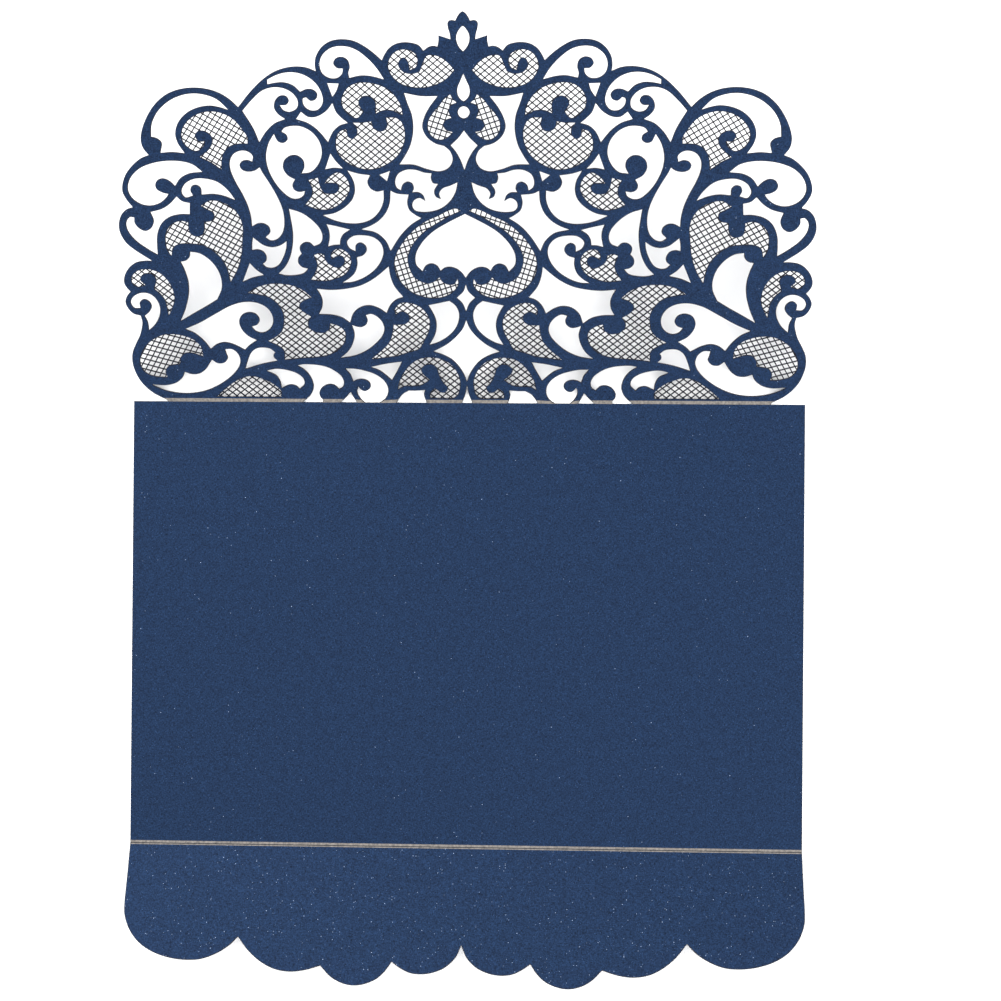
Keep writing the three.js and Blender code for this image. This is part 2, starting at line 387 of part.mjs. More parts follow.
function foldedCard() {
  const laceFold = THREE.MathUtils.degToRad(LACE_FOLD);
  const scallopFold = THREE.MathUtils.degToRad(SCALLOP_FOLD);
  const crease = PANEL_HEIGHT / 2;
  const lace = laceFlap().rotateX(laceFold).translate(0, crease, 0);
  const scalloped = scallopedFlap().rotateX(-scallopFold).translate(0, -crease, 0);
  const laceScore = scoreGroove(0, LACE_SCORE_WIDTH, laceFold).translate(0, crease, 0);
  const scallopScore = scoreGroove(-SCALLOP_SCORE_WIDTH / 2, SCALLOP_SCORE_WIDTH / 2, scallopFold)
    .rotateZ(Math.PI)
    .translate(0, -crease, 0);
  const card = solidOf(panel())
    .add(solidOf(lace))
    .add(solidOf(scalloped))
    .subtract(solidOf(laceScore))
    .subtract(solidOf(scallopScore));
  const geometry = geometryOf(card);
  geometry.computeBoundingBox();
  const middle = geometry.boundingBox.getCenter(new THREE.Vector3());
  geometry.translate(-middle.x, -middle.y, -geometry.boundingBox.min.z);
  geometry.computeVertexNormals();
  return geometry;
}

const pearlCard = new THREE.MeshStandardMaterial({ color: 0x2f3e68, roughness: 0.55, metalness: 0.1 });
const invitationCard = new THREE.Mesh(foldedCard(), pearlCard);
invitationCard.name = "invitation_card";

const part = new THREE.Group();
part.add(invitationCard);

export default part;
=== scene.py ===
import math

import bpy
from mathutils import Matrix, Vector
from mathutils.geometry import delaunay_2d_cdt


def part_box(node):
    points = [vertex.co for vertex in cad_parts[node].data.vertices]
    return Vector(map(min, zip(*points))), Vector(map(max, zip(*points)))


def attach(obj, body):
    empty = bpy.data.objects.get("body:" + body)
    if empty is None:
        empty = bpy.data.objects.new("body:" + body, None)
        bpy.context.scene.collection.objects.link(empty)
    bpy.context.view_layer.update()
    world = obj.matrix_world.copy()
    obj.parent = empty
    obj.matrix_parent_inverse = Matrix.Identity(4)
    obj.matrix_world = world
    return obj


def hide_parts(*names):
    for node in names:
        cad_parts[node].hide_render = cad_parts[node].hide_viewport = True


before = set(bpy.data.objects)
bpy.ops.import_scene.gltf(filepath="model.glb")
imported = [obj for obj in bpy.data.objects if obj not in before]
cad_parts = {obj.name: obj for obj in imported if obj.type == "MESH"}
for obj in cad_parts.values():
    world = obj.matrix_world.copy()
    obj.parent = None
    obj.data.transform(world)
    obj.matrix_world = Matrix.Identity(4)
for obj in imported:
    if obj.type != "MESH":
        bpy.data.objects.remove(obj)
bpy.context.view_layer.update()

# The card, in millimetres and radians
PANEL_WIDTH = 185.0
PANEL_HEIGHT = 122.3
SHEET_THICKNESS = 0.3
LACE_HEIGHT = 103.9
LACE_FOLD = math.radians(20)
SCALLOP_FOLD = math.radians(18)
LACE_SCORE_WIDTH = 0.85
SCALLOP_SCORE_ON_PANEL = 0.75
SCALLOP_SCORE_ON_FLAP = 0.45
SCORE_LINE_HALF_WIDTH = 0.16
SCORE_DEPTH = 0.08
EDGE_TAPER = 0.17

# The threads of the lattices. Those of the second direction are thinner, so that no two faces coincide.
THREAD_WIDTH = 0.31
THREAD_PITCH = 1.4
THREAD_ROOT = 0.3
THREAD_UNDERSIDE = SHEET_THICKNESS * 0.1
THREAD_LOWER_BY = 0.015
SHORTEST_THREAD = 0.3

# The flat layout, measured up from the panel's middle
CREASE = PANEL_HEIGHT / 2
GROOVES = [CREASE + LACE_SCORE_WIDTH / 2, -CREASE]
SCORE_EDGES = [
    CREASE + LACE_SCORE_WIDTH / 2,
    CREASE + LACE_SCORE_WIDTH,
    -CREASE + SCALLOP_SCORE_ON_PANEL,
    -CREASE + SCORE_LINE_HALF_WIDTH,
    -CREASE - SCORE_LINE_HALF_WIDTH,
    -CREASE - SCALLOP_SCORE_ON_FLAP,
]

# How finely the mesh is drawn, and how near two places are one
STEPS_PER_POINT = 6
SAME_PLACE = 1e-4
MESH_TOLERANCE = 1e-5
WHOLE_HULL = 0
METRES = 0.001

# The materials' places on the piece
CARD, CUT_EDGE, SCORE, SCORE_LINE, THREAD = range(5)

# The card's finish: colours are 0 to 255, noise scales are per metre and the relief's depth is in metres
PEARL_ROUGHNESS = 0.5
PEARL_METALLIC = 0.55
PEARL_SPECULAR = 0.12
NAVY_DARK = (23, 39, 64)
NAVY_LIGHT = (25, 43, 70)
MOTTLE_SCALE = 450
FIBRE_SCALE = 3000
FIBRE_ACROSS = (0.5, 1.6, 1)
FIBRE_ALONG = (1.6, 0.5, 1)
FIBRE_BAND = (0.35, 0.65)
FIBRE_DARK = (0.42, 0.42, 0.42, 1)
FIBRE_LIGHT = (1.58, 1.58, 1.58, 1)
PEARL_RELIEF = 0.35

# Flecks: how many cells there are per metre, the share of them that stays bare, and the colour of the rest
# The bright flecks are the pearl finish's own flakes with a painted glint: their light colour also stands
# in for the light they catch
BRIGHT_FLECK_AND_GLINT = (150, 168, 196)
FLECK_SOFT = (62, 88, 130)
FLECKS = [(2600, 0.98, BRIGHT_FLECK_AND_GLINT), (3600, 0.88, FLECK_SOFT)]
FLECK_RADIUS = 0.27
FLECK_PATCH_SCALE = 30
FLECK_PATCHINESS = 0.03
# Painted glint: the flap that leans up at the front gets more bright flecks than the flat panel, in place
# of the light its flecks would catch
PAINTED_GLINT_LEAN_GAIN = 0.12

# Card whose finish is gone: its material's name, dark and light colour, grain scale and roughness
PLAIN_STOCKS = [
    ("laser_cut_edge", (20, 19, 24), (44, 38, 38), 2500, 0.8),
    ("scored_stock", (88, 85, 83), (132, 126, 120), 1600, 0.75),
    ("score_line", (26, 27, 32), (44, 44, 50), 1600, 0.75),
    ("lattice_thread", (10, 12, 20), (20, 23, 34), 2500, 0.7),
]
PLAIN_SPECULAR = 0.2
PLAIN_RELIEF = 0.4
TONE_BAND = (0.3, 0.7)
RELIEF_DEPTH = 0.00003

# The white ground, in metres
GROUND_REACH = 3.0
GROUND_GAP = 0.0002
GROUND_ROUGHNESS = 0.9
GROUND_SPECULAR = 0.1
GROUND_MOTTLE_SCALE = 40
GROUND_DARK = (250, 250, 250)
GROUND_LIGHT = (253, 253, 253)

# The camera as fitted to the photograph: in pixels, radians and metres from the panel's middle
FOCAL_PIXELS = 1711.1
PICTURE_PIXELS = 1001
SENSOR_WIDTH = 36.0
CAMERA_TURN = (-0.00419, -0.03637, -0.00785)
CAMERA_FROM_PANEL = Vector((0.0265, 0.0325, 0.4703))

# Each lamp's name, place, size across and power, and the strength of the white studio round them
LAMPS = [
    ("key_light", (-0.7, 0.9, 1.5), 0.9, 11),
    ("fill_light", (0.9, -0.5, 1.3), 1.2, 5),
]
STUDIO_WHITE = (1.0, 1.0, 1.0, 1.0)
STUDIO_STRENGTH = 1.75

# The outlines of the right half. Each point is "across,up" in millimetres, across from the axis of
# symmetry and up from the crease, and a star marks a corner: the stretches between corners are smooth
# curves.

# The rim of the lace from the top of its axis, down the right side, and along the crease back to the axis
LACE_RIM = """
  0,103.9 0.8,103.4 1.4,102.6 1.9,101.6* 2.7,101.75 3.5,101.6 3.9,101 3.8,99.8 3.4,98.4 3.2,97*
  6.3,98* 6.3,96.6 6.6,95.2* 7.6,95.4 8.9,95.1 10.2,94.2* 11.3,95.5 12.9,96.1 15.2,96.3 17.3,95.9
  19.1,94.8 20.3,93.2 21,91.8* 23,93.6 25.5,95.4 28.2,96.7 31.2,97.1 34.2,96.6 36.6,95 38.1,92.6
  38.4,90.4 38.2,89.1* 40.5,90 43.3,90.3 46.4,89.9 49.6,88.7 52.8,86.5 55.9,83.5 58.9,80* 61,82
  63.8,83.7 67,84.7 70.7,85 74.4,84.5 77.9,83.1 81,80.5 83.2,77.4 84.8,73.8 85.2,71.3 84.7,69.3
  83.4,67.6* 85.6,66.7 88,64.8 89.9,62.5 91,59.8 91.1,57.8 90.2,55.8 88.7,53.8* 90.3,53.3 91.9,51.8
  92.8,49.2 92.6,46.8 91.2,44.2 88.9,42.2 86.5,40.6 84.6,39.4* 86.6,39.4 89,38.9 91.1,37.3 92.4,35.1
  92.6,33.2 91.9,31.8 91.1,30.9* 92.1,29.7 92.7,28.1 92.2,26.4 90.8,24.8 88.8,24.2* 88.5,22.4
  88.8,20.7 89.5,18.6 90.8,16.2 91.8,14 92.1,11.5 91.7,9.1 90.5,6.2 88.6,3.8 86.3,2 83.4,0.5* 83,0*
  45.4,0* 44.3,0.9 43.2,2 42.5,3.3 42.2,4.8 42.4,6 42.9,7.3 43.8,8.6 45,9.7 46.3,10.4* 45,10.7
  42.5,10.7 40,10.4 37.9,9.8 36.1,8.8 34.6,7.5 33.9,5.9 34.2,4.6 35.2,3.9* 36.4,5 37.7,5.3 39.3,4.8
  40.4,3.7 40.8,2.5 40.5,1.4 39.9,0.7 39.9,0* 34.9,0* 33.5,1.3 32.1,2.9* 31.5,1.7 30.5,0* 28.2,0*
  29.3,1.1 30.1,2.5 30.2,3.5 29.9,4.4* 29.2,3.6 28.2,3.2 27.2,3.6 26.5,4.5 26.6,5.6 27.4,6.4 28.8,6.8
  30.2,6.6 31.2,6.1* 31.5,6.9 31.9,8 33.2,9.6* 30.5,9.5 28,9 25.8,8.3 23.9,7.2 22.5,5.8 21.8,4.2
  21.9,2.5 22.7,1.1 24.2,0* 19.4,0* 18.6,1.3 17.6,2.5 16,3.4* 13.8,3.4 11.6,3.6* 11.9,2.2 11.2,0*
  1.4,0* 0.4,2.7 0,5*"""

# Openings on the axis, each from its top to its bottom down the right side
AXIS_OPENINGS = [
    "0,100.2 0.9,99.4 1.6,98 1.6,96.6 1,95.1 0,94*",
    "0,88.3* 0.8,86.5 1.5,84.9 1.5,83.2 0.8,82 0,81.5",
    "0,80.1 1.05,79.65 1.5,78.6 1.05,77.55 0,77.1",
    "0,73.9* 1.4,72.1 3.5,70.1* 2.1,68.4 0.9,66.2 0,63.8*",
    """
      0,52.1* 4.2,50 8.4,47.5 11.4,44.6 13.2,41.4 13.2,38.6 11.6,36.75* 10.7,38.3 9.1,38.9 7.6,38.3
      6.7,36.9* 5.7,37.7 4.2,38 2.4,37.5 1,36.4 0,35*""",
    "0,33* 0.6,31.3 2.4,29.5* 0.9,28 0,25.9*",
    "0,23.3* 0.8,21.2 2.4,19.1 5.1,16.7 8.9,14.6* 6.3,13.7 3.7,12.2 1.7,9.9 0.5,7.7 0,6.2*",
]

# Plain openings, from the crease upwards
OPENINGS = [
    "17.8,11.6* 22,11 26.1,10.1* 24,9.3 22.1,7.9 20.6,6.5* 19.5,8.4",
    """
      54.9,8.9* 52.5,9.4 49.5,9.1 46.8,8.2 45.1,6.8 44.8,5.3 46.1,3.9* 47.1,4.8 48.8,5.1 51.1,4.1*
      51.3,5.7 52.3,7.6""",
    """
      52,11.8* 52.9,12.7 52.9,13.6 52.5,14.1* 53.8,15.1 55.6,15.4 57.4,15.2 58.9,14.1 59.8,12.4
      60.8,9.5* 56,11""",
    """
      87,4.8* 83,4.6 80.2,5.4 78.4,6.9 77.7,8.4* 75.8,7.8 73.6,8 71.8,9.3 70,11.9* 68.4,10.9 66.6,11.1
      65.5,12.5 65.8,13.7 66.1,14.9* 64.3,14.9 62.8,13.7 62.2,11.9 62.7,10 64.6,7.7 67.8,5.3 71.5,3.5
      75.3,2.6 79.2,2.5 83.2,3.2""",
    """
      27.2,24.6* 25.7,24.9 24.1,24.1 22.8,22.6 22.35,20.8 22.9,19 24.6,17 27.1,15 30.3,13.5 34.4,12.7*
      32.4,14.4 31,16.7 30.4,19.4 31,21.8* 29.9,21.4 28.5,21.25 27.2,22 26.75,23.2""",
    """
      4.5,28.6* 7.2,28 10.1,27.4* 9.2,25.9 8.3,23.9 8,21.8 8.5,19.2 10,16.5* 7.6,17.3 5,18.9 3.1,20.9
      2.1,23.2 2,25.4 2.9,27.3""",
    """
      20.7,37.9* 20.3,35.3 19.3,32.6 17,29.7* 18.9,29 20.5,27.5 21.6,25.3* 23.5,26.6 26,27.4 28.6,26.9
      30.6,25.2 31.6,22.6* 33.8,24.1 36.6,24.8 39.9,24.9* 39,26.7 38.8,28.6 39.3,30.3 40.2,31.8*
      36.5,31.5 32.5,31.8 28.5,32.7 24.8,34.6""",
    """
      58.4,21.3* 57.4,20.2 55.7,19.75 54,20.4 52.8,22 52.7,24.2 54,26.4 56.5,27.8 60,28.1 63.6,27.2
      68,24.9 72.5,22.4 76.6,20.6* 74.2,19.5 71.7,17.3 70.1,15.1* 68.4,16.4 66.2,17 63.6,16.4
      60.7,14.9* 59.4,16.2 57.4,17.5* 59.8,18.8 61.4,20.7 61.9,22.8 60.9,24.7 58.9,25.4 57,24.8
      56.2,23.2 56.9,21.9""",
    """
      74,41.8* 71.6,41.4 69.1,39.8 67.1,37.3 66.1,34.4 66.2,31.7 67.5,28.9* 70.8,26.9 74.2,25
      77.8,22.9* 76.2,26.4 75.1,30.4 75,33.7 75.8,37 76.7,39.1* 75.2,39.5 74.2,40.6""",
    """
      86.7,20.3* 84.9,22 83.6,24.4 83.4,26.9 84.5,29.2 86.4,30.4 88.6,30.4 90.5,29.3 91.1,27.9
      90.3,26.5 88.7,26.4* 88.8,27.9 87.5,28.9 86,28.2 85.5,26.8 86.3,25.3 87.6,24.2* 86.9,22.6""",
    """
      22,41.8 22.5,44 24.3,45.7 27.2,46.35 30,46.1 31.6,44.6 31,43 29.5,42.15* 29.3,43.8 28.1,44.5
      26.7,43.7 26.4,42.3 27.4,41 29.1,40.4* 29,38.6 29.7,36.4 31.2,34.8 33.1,33.6* 30.6,33.8
      27.6,34.9 24.7,36.9 22.8,39.3""",
    "36.9,49.3* 34,48.7 30.8,47.9* 32.6,46.7 33.4,45.3 33.6,43.9* 35.2,43.8 36.7,43.4* 36.2,45.8 36.3,47.7",
    """
      46.8,53.4* 43.5,52.3 40.6,50.2 38.7,47.9 38.2,45.9 38.8,44.3 40.5,43.5* 41.7,44.5 43.1,44.5
      44.3,43.5 44.4,42.4 44,41.4* 44.9,40.3 45,38.9 44.1,37.8 42.5,37.3* 43.6,36.2 46.2,35.6
      48.6,35.6 50.3,36* 48.4,38 47.1,40.4 46.3,43.4 46,47 46.4,50.7""",
    """
      54.1,64.3* 55.4,63.5 57.3,63.2 58.9,63.8 59.4,65 58.7,66 57.3,66.35 56,65.9* 55.8,67.3 56.9,68.4
      58.7,68.7 60.7,67.9 61.8,66.1 61.8,63.8 60.7,60.7 58.9,57.2 57.6,53.9 57,51 56.9,48.8* 55.3,49.6
      53.8,49.6 52.4,48.7 52.1,47.2 53.4,45.8* 52.1,45 50.5,45.3 49,46.8 48.3,49.2 48.5,53 49.8,56.6
      51.8,60.3 53.4,62.9""",
    """
      47.9,44.7* 49.6,43.6 51.8,43.1 54,43.6 55.6,44.7 56.8,45.7* 57.1,44.2 57.2,42.4* 55.7,42.6
      54.2,42 53.4,40.6 53.6,39.4 54.5,38.6* 53.6,37.8 52,37.6 50.3,38.4 48.9,40.6 48.1,42.9""",
    "54.5,35.6* 56.5,37 58.1,38.7* 60.2,33.8* 57.6,34.9",
    """
      82.9,41.1* 85.5,42.7 88.6,45.1 90.4,47.7 90.6,49.8 89.6,51.1 88.5,51* 88.5,49.6 87.4,48.1
      85.7,47.4 84,48.3 83.2,50.2 83.9,52.5* 80.9,53.3 78.6,54.7 76.7,56.6* 75.3,55.4 73.3,54.9*
      73.5,52* 76,52 79.1,51.2 81.3,49.4 82.6,46.6 82.9,43.5""",
    """
      69.4,63.2* 71.9,65.1 75,65.9 78.6,66 82.5,65.4 86.2,63.9 88.7,61.4 89.5,58.7 88.7,56.5 86.5,54.8
      83.9,54.3 81.3,55 79.4,56.5 78.9,57.3* 80.5,57.7 81.9,58.6 82.2,59.8 81.4,61.1 79.9,61.5
      78.2,60.8 76.9,59.5* 75.4,61.5 72.9,62.8""",
    """
      61.1,55.8* 62.8,58.2 65.4,60.4 68.4,61.3 71.6,61.3 74.2,60 75.2,57.9 74.3,56.5 72.3,56.9*
      72.9,58.3 72.4,59.5 71.1,59.8 70,58.9 69.9,57.2* 66.8,57.4 64,56.9""",
    """
      11.7,51* 14.5,49.2 17.4,46.2 20,42.3* 21.2,44.9 23.7,47.1 27.6,48* 25.2,48.9 22.9,50.3 21,52.4
      19.9,55 19.6,58.2* 18,57.5 14.9,57.2* 15.3,55.2 14.8,53.2 13.3,51.9""",
    "19.7,63.4* 22.4,62.4* 20.5,60.8*",
    """
      61.6,79.3* 64.4,81.9 67.6,83.1 70.8,83.4 74.1,82.8 77.3,81.3 80.2,78.7 81.9,75.6 82.3,72.4*
      80.8,72 79.6,70.8 80.1,68.2* 77,68.4 73.8,68.1* 75.4,70.6 75.95,73.1 75,76 72.6,78.5 69.6,79.9
      66.3,80.4 63.8,80""",
    """
      25,62.3* 28,62.7 30.8,63.5* 29.4,61 29,58.6 29.6,56.3 31.3,54.3 34.4,52.4 37.7,51.7* 34.7,50.4
      31.3,49.65 27.9,49.7 25,50.7 22.8,52.8 21.6,55.6 21.5,58.3* 23.4,58 25.1,59 25.7,60.6""",
    """
      1.9,60.4* 4,59.5 5.7,58.9 6.7,57.6 6.3,56* 7.7,56.7 8.1,58.2 7.1,60* 8.4,60.3 8.9,61.6 8.7,62.8*
      10.6,63 12.9,63.7 15.4,63.7 17.6,62.5 18.3,60.5 17.9,59.1 16.9,58.4* 16.4,59.9 15.1,60.7
      13.8,60.2 13.4,58.9 13.8,57.9* 12.2,57.9 11,57.1 10.4,55.5* 12,56.3 13.5,55.6 13.9,54.2
      13.2,53.1 11.4,52.7 8.6,52.9 6.1,53.8 3.9,55.6 2.5,57.9""",
    "35.2,67.9* 36.7,63.9* 34.5,64.3 32.1,64.1* 33.9,66",
    """
      44.8,75.1 47,74.6 47.8,73.7* 46.5,72.8 46.3,71.6 47.5,70.7 48.9,71.1 49.9,73* 51.4,70.5
      52.2,67.2 51.8,64 50.4,60.8 48.3,58 46,56.3 44.2,56.2 42.8,57 42.4,58.1* 44,57.9 45.3,58.6
      45.6,59.8 44.9,61.2* 46.8,62.3 47.9,64.2 47.5,66.2 45.8,67.5 43.9,67.5 42.4,66.2 42.2,64.4
      43,62.8* 40.6,63.2 38.6,65.1 37.5,68 38,71 40,73.6 42.5,74.9""",
    """
      43.8,76.9* 40.8,75.9 38.2,74 35.7,71* 34.3,73.7 32.6,75.2 30.4,75.9* 32,77.2 33.3,78.6
      34.2,80.9* 35.8,79 38.4,77.5 40.6,77.4 42.5,78.7*""",
    """
      46.8,76.9* 49.6,75.8 52,73.6 53.8,71* 55.2,74.6 57.8,79* 55.4,81.6 52.6,84 50,84.9 47.2,84.8
      44.8,83.7 43.3,81.7 43.5,79.8 45.3,78.8 47,79.2 47.9,80.4* 46.3,80.5 45.5,81.6 46.2,82.8
      47.8,82.9 49.2,81.6 49.5,79.7 48.6,78.2""",
    """
      50.9,85.8* 50.9,86.9* 48.7,88 46,88.7 43,88.6 40.2,87.5 38,85.5 36.8,83 36.8,80.9 38.1,79.3
      40.1,79.2 41.6,80.4 41.8,82.1 41,82.4* 39.8,81.5 38.4,82 38,83.3 39,84.4 40.7,84.6 42.5,83.9*
      44.2,85.5 46.6,86.3 48.9,86.2""",
    "32.4,85.9* 35.3,86* 34.1,82.6* 33,84.2",
    """
      20.6,87* 22.5,89.9 25.2,92.7 28,94.6 31,95.3 33.9,94.9 36.3,93.1 37.1,90.9 36.5,88.6 34.7,87.4
      32.7,87.4 31.4,88.5 31.2,89.7* 32.6,89.8 33.6,91 32.9,92.3 31.3,92.7 29.8,91.9 29.3,90.1
      29.7,88.6 29.5,87.4* 26.5,88 23.7,87.8""",
    """
      6.8,82.7* 11,82.7 15.4,83.5* 14.6,81 13.5,77.9 13.2,74.3 14,70.3 15.5,67.4 17,65.2* 13.2,65.1
      9.9,64 6.6,63.4 4.2,64.3 3.1,66.3 3.7,68.5 5.2,69.9* 7.6,70.6 9.8,72.3 10.9,74.8 10.3,77.5
      8.9,80""",
]

# Openings filled with a lattice, each with the two directions of its threads in degrees
LATTICES = [
    {
        "directions": [38, -38],
        "rim": """
          2.1,3.9 1.9,6 2.9,9 4.9,11.3 7.5,12.5 10.4,12.8 13.3,12.2 15.7,10.4 17.5,8 18.5,5.8
          18.9,3.9* 17.4,4.8 14.5,4.9 12.5,5.2 10.3,6.6* 12,8.1 12.6,9.5 11.2,10.9 9.4,11 8.1,9.9
          7.4,7.6 6.2,5.6 5.2,4.4 5.9,3 7.2,2.9 8.7,4.1* 10,2.9 10.1,1.5* 6.5,1.4 3.7,1.5 2.5,2.6""",
    },
    {
        "directions": [38, -38],
        "rim": "51.5,1.5* 51.4,3.1 53.2,4.9 56,6.4 59.4,7.3 62.3,6.6 65.5,4.6 69.1,1.5*",
    },
    {
        "directions": [15, -60],
        "rim": """
          72.4,13* 72.8,15.4 74.3,17.2 76.8,18.4 79.8,19 83,18.8 86,17.4 88.4,15.1 89.7,12.3 89.6,10
          88.2,8.1 85.5,7.2 82.7,7* 83.1,8.5 82.2,10.1 80.6,10.6 78.9,10.8* 78.6,12.6 77.4,13.8
          75.6,14 73.8,13.5""",
    },
    {
        "directions": [38, -38],
        "rim": """
          15.5,28 17.8,27.8 19.2,26.2 19,25* 17.4,25.8 15.7,25 15.2,23.6 16.4,22.2 18.2,21.9
          19.7,21.9* 20,19.6 21,17 22.9,14.9 25.9,12.4* 22.4,12.9 19,13.4 15.9,14.4 13,15.4 11.4,18
          10.2,20.6 10,23.2 11.3,25.8 13.3,27.3""",
    },
    {
        "directions": [38, -38],
        "rim": """
          33,19.2 33.5,16.9 35.2,14.9 38,13.5 41.5,12.9 46,12.6 49.8,12.1* 49.9,14.7 51.6,16.2
          54.1,17.3* 52,18.4 50.2,20.1 49.5,22.6 49.6,25.2 51,27.7 53.2,29.5 56,30.3 58.9,30.7*
          56.5,32.1 53.3,33 50,33.1 46.8,32.6 44,31.3 41.9,29.5* 44.2,28.6 45.3,27.2 44.6,25.7
          42.2,24.1* 43.2,22.3 42.6,20.7 40.8,19.7 38.8,19.6 37.3,20.6 36.9,22.2* 34.8,21.5 33.4,20.4""",
    },
    {
        "directions": [38, -38],
        "rim": """
          81,24.5* 79.8,26.9 79.2,29.2 79.6,31.7 80.9,34.2 83,36.1 85.8,37 88.5,36.6 90.2,35.1
          90.3,33.4 88.9,32.3 86.9,32.8* 88.1,33.9 87.9,35.1 86.6,36 84.7,35.8 83.7,34.4 84.4,31.7*
          82.7,30.2 81.6,28.4 81.2,26.4""",
    },
    {
        "directions": [38, -38],
        "rim": """
          30.8,39.6 31.3,37.5 32.9,35.7 35.2,34.7 38,34.1 41.6,34.4* 40.3,36.4 39.7,38.5 40.6,41*
          39.2,41.4 38,41* 37.5,39.3 35.9,38 34.2,37.5 32.8,38.3 32.3,39.6 33,40.8 34.3,40.9
          35.9,40.1* 35.9,41.3 34.6,42.6 32.9,42.4 31.4,41.3""",
    },
    {
        "directions": [28, -55],
        "rim": """
          63.5,33.8* 61.6,37.1 60.3,41 59.8,45 59.5,48.5 60.3,51.4 62.3,53.8 65,55.2 67.8,55.5
          70.2,54.2* 68.6,53.3 67,52.4 66.9,51.1 67.8,50.1 69.6,49.8* 69.6,48.1 70.3,46.4 72,45.9
          73.6,46.6 74.1,48.2 74.1,49.7* 76,50.1 78.4,49.2 80,47.2 80.4,44.7 80.1,42.5 79.2,40.8*
          78.6,43 76.8,44 73.6,44.1 70.4,43.7 67.6,42.1 65.2,39.5 64.1,37""",
    },
    {
        "directions": [73, -18],
        "rim": """
          1.2,53* 2.4,53.5 4.5,52.9 7.2,51.5 10,50.3 12.7,48.5 15.2,46.2 17.2,43.6 18.6,40.9 19,38.2
          18.4,35.5 16.9,33.2 14.7,31.2 12,30 8.8,29.5 5.8,29.9 3.3,31.4 2.1,33.2 2.2,34.5* 3.1,33.2
          4.6,33 6.2,33.7 7.1,35* 8.2,34 9.9,33.3 12.2,33.9 14,35.2 15.1,37.4 15.6,40 15,42.4
          13.2,45.2 10.5,47.8 7.2,49.9 3.9,51.8""",
    },
    {
        "directions": [38, -38],
        "rim": """
          33.4,63 35.5,61.9 36.9,60.3* 35.2,60.4 33.6,60.1 33.1,58.9 34.1,57.6 35.7,57.3 37.2,57.6
          38.3,59.2 38.8,61.6* 41.2,61* 40.3,59 40.4,57 42.2,54.6* 39.8,53.6 36.8,53.3 34,54.3
          31.8,56.2 30.6,58.4 30.7,60.3 31.7,62""",
    },
    {
        "directions": [39, -39],
        "rim": """
          16.3,76.1* 17.7,77.1 20.2,77.2* 19.9,75.3 20.8,73.9 22.4,73.7 23.8,74.6 24.2,76.2* 26.4,75.9
          28.9,75.9* 27.9,74.4 28,72.8 29.2,71.7 30.5,72.4 30.8,74.3* 32.6,73.5 33.5,71.3 33.4,68.9
          32,66.7 29.5,65 26.3,64 23,64.2 19.6,65.8 17.1,68.1 15.7,71.3 15.6,74.1""",
    },
    {
        "directions": [30, -55],
        "rim": """
          57,70.6* 57,72.2 58.3,74.3 60.2,76.6 62.7,78.1 66,78.8 69.4,78.2 72.2,76.5 73.9,74.2 74.2,72
          73,69.9 70.7,68.7 69,69.6 68.1,71.1* 69.8,71.1 70.8,72.6 69.9,73.8 68.2,73.9 66.5,72.8
          66.1,71 67.3,68.9 69.7,67.1* 67,65.8 64.3,63.9* 64.1,66.3 63.2,68.6 61.4,70.1 59.2,70.6""",
    },
    {
        "directions": [18, -70],
        "rim": """
          3.5,83.1* 5.1,81.8 6.5,80 8.1,78.2 9.2,76.3 9.3,74.3 8.2,72.4 6.2,71.6 4.4,72.2 3,73.5*
          4.7,74 5.5,75.5 4.7,76.7 3.3,77.2* 4,78.9 3.4,80.4 1.9,81.1* 2.9,82""",
    },
    {
        "directions": [39, -39],
        "rim": """
          16,77.9* 16.3,79.9 17.4,82 19.2,84.1 21.8,85.4 25,86.1 28,85.9 30.3,84.5 31.6,82.2 31.4,80
          29.9,78.1 27.9,77.2 26.2,78.9* 27.3,80.3 27.3,81.7 26,82.8 24.4,82.7 22.9,81.3 22.8,79.9
          22.9,78.4* 20.9,79.2 18.4,79.1""",
    },
    {
        "directions": [39, -39],
        "rim": """
          2.4,89.3* 4.6,91.6 7.2,92.9 9.3,92.8 10.2,91.3 11.2,88.9* 13,88.3 15.4,88.7 16.8,90.4
          16.4,91.9 15.3,92.5 14.3,91.7 13.7,89.4* 12.4,90 11.8,91.4 12.2,93.1 13.6,94.1 15.6,94.4
          17.6,93.7 19,91.9 19.3,90 18.3,87.8 16.2,86 13.4,85.1 10.2,85 7,85.8 4.4,87.2""",
    },
]

# The free edge of the scalloped flap, from its axis to the right-hand end of its crease
SCALLOP_RIM = """
  0,26.2* 1.4,29.3 4.2,32 7.4,33.4 10.5,33.9 13.7,33.6 16.4,32.4 18.7,30.8* 20.3,33.1 22.5,35.2
  25.6,36.6 28.7,37.1 31.8,36.6 35,35 38,32.1* 42,33.3 46.2,33.8 50.4,33.2 54.2,31.4 57.8,28.5
  60.8,24.9* 63.2,27.3 66.7,29.5 70.6,30.9 74.6,31.2 79.2,30.7 84,29.2 87.9,26.8 90.8,23.4 92.4,19.6
  92.7,17 92.6,10 92.5,0*"""


def read_outline(text):
    """Points of an outline as (place, whether it is a corner)."""
    points = []
    for word in text.split():
        across, up = word.rstrip("*").split(",")
        points.append((Vector((float(across), float(up))), word.endswith("*")))
    return points


def mirrored(points):
    return [(Vector((-p.x, p.y)), corner) for p, corner in reversed(points)]


def with_mirror_image(half):
    """Closes a half outline that starts and ends on the axis, or runs along the crease."""
    return half + [point for point in mirrored(half) if point[0].x != 0]


